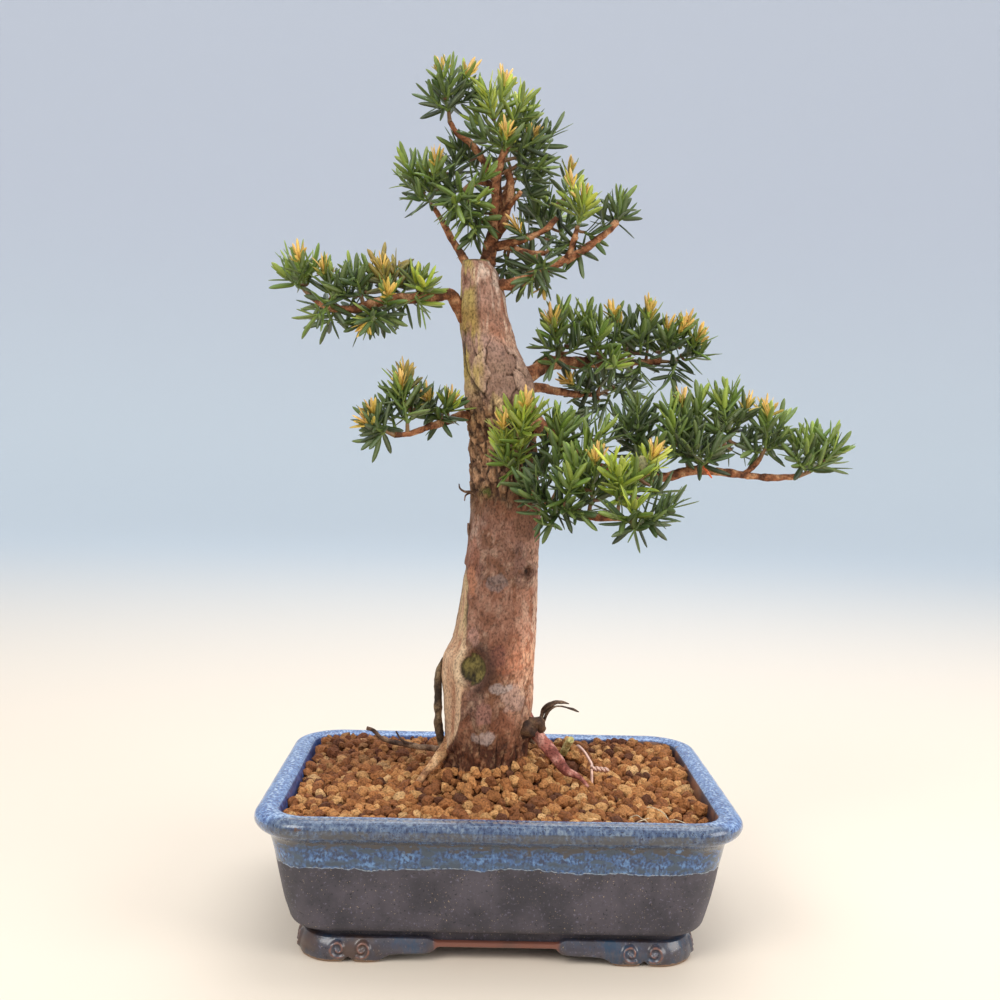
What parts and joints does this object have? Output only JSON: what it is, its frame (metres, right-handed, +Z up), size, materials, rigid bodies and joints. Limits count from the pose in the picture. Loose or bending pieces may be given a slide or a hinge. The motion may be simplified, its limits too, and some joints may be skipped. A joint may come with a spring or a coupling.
{
  "type": "japanese yew bonsai",
  "caption": "Old yew bonsai with a thick tapering trunk, needle sprays on few branches and a blue-glazed rectangular footed pot full of clay grains.",
  "frame": {"origin": "centre of the bounding box at its bottom, on the surface the feet stand on", "axes": "+Z up the trunk, -Y the tree's front, +X to the right seen from the front along the pot's length"},
  "size_m": [0.3606, 0.2025, 0.5114],
  "materials": {
    "glazed_stoneware": "slate-grey stoneware, rim and upper wall in running blue glaze",
    "clay_grains": "dry baked-clay grains, ochre to orange brown",
    "yew_wood": "flaking reddish bark with bare tan deadwood",
    "tie_wire": "bronze-tinted anodised wire",
    "drain_screen": "black plastic mesh",
    "dark_needles": "old leathery needles, dark green, slight gloss",
    "bright_needles": "mature needles, mid green, slight gloss",
    "lime_needles": "young needles, yellow green",
    "olive_needles": "turning needles, olive to orange",
    "golden_needles": "new growth, golden yellow"
  },
  "bodies": {
    "root": {"pot": "glazed_stoneware", "soil": "clay_grains", "trunk": "yew_wood", "tie_wire": "tie_wire", "drain_screen_left": "drain_screen", "drain_screen_right": "drain_screen", "crown_top_left": "dark_needles", "crown_top": "lime_needles", "crown_right": "dark_needles", "crown_left": "bright_needles", "crown_front": "bright_needles", "crown_back": "dark_needles", "mid_right_upper": "bright_needles", "mid_right_lower": "lime_needles", "low_right_end": "dark_needles", "under_crown": "dark_needles", "left_end": "bright_needles", "left_outer": "bright_needles", "left_middle": "dark_needles", "left_inner": "olive_needles", "left_lime": "lime_needles", "left_under": "dark_needles", "lower_left_top": "bright_needles", "lower_left_inner": "dark_needles", "lower_left_end": "dark_needles", "right_upper_1": "bright_needles", "right_upper_2": "bright_needles", "right_upper_3": "dark_needles", "right_upper_4": "bright_needles", "right_upper_end": "dark_needles", "right_back": "dark_needles", "right_long_1": "dark_needles", "right_long_2": "bright_needles", "right_long_3": "dark_needles", "right_long_4": "bright_needles", "right_long_5": "bright_needles", "right_long_end": "bright_needles", "front_low_1": "lime_needles", "front_low_2": "bright_needles", "front_low_3": "dark_needles", "front_low_4": "bright_needles", "front_low_5": "lime_needles", "front_low_end": "dark_needles", "crown_top_tip_3": "golden_needles", "crown_left_tip_1": "golden_needles", "mid_right_lower_tip_1": "golden_needles", "left_end_tip_1": "golden_needles", "left_outer_tip_1": "golden_needles", "left_inner_tip_1": "golden_needles", "left_inner_tip_2": "golden_needles", "lower_left_top_tip_1": "golden_needles", "lower_left_end_tip_1": "golden_needles", "right_upper_1_tip_1": "golden_needles", "right_upper_3_tip_1": "golden_needles", "right_upper_3_tip_2": "golden_needles", "right_upper_4_tip_2": "golden_needles", "right_upper_end_tip_1": "golden_needles", "right_long_5_tip_1": "golden_needles", "front_low_4_tip_2": "golden_needles", "front_low_5_tip_2": "golden_needles"}
  },
  "joints": []
}
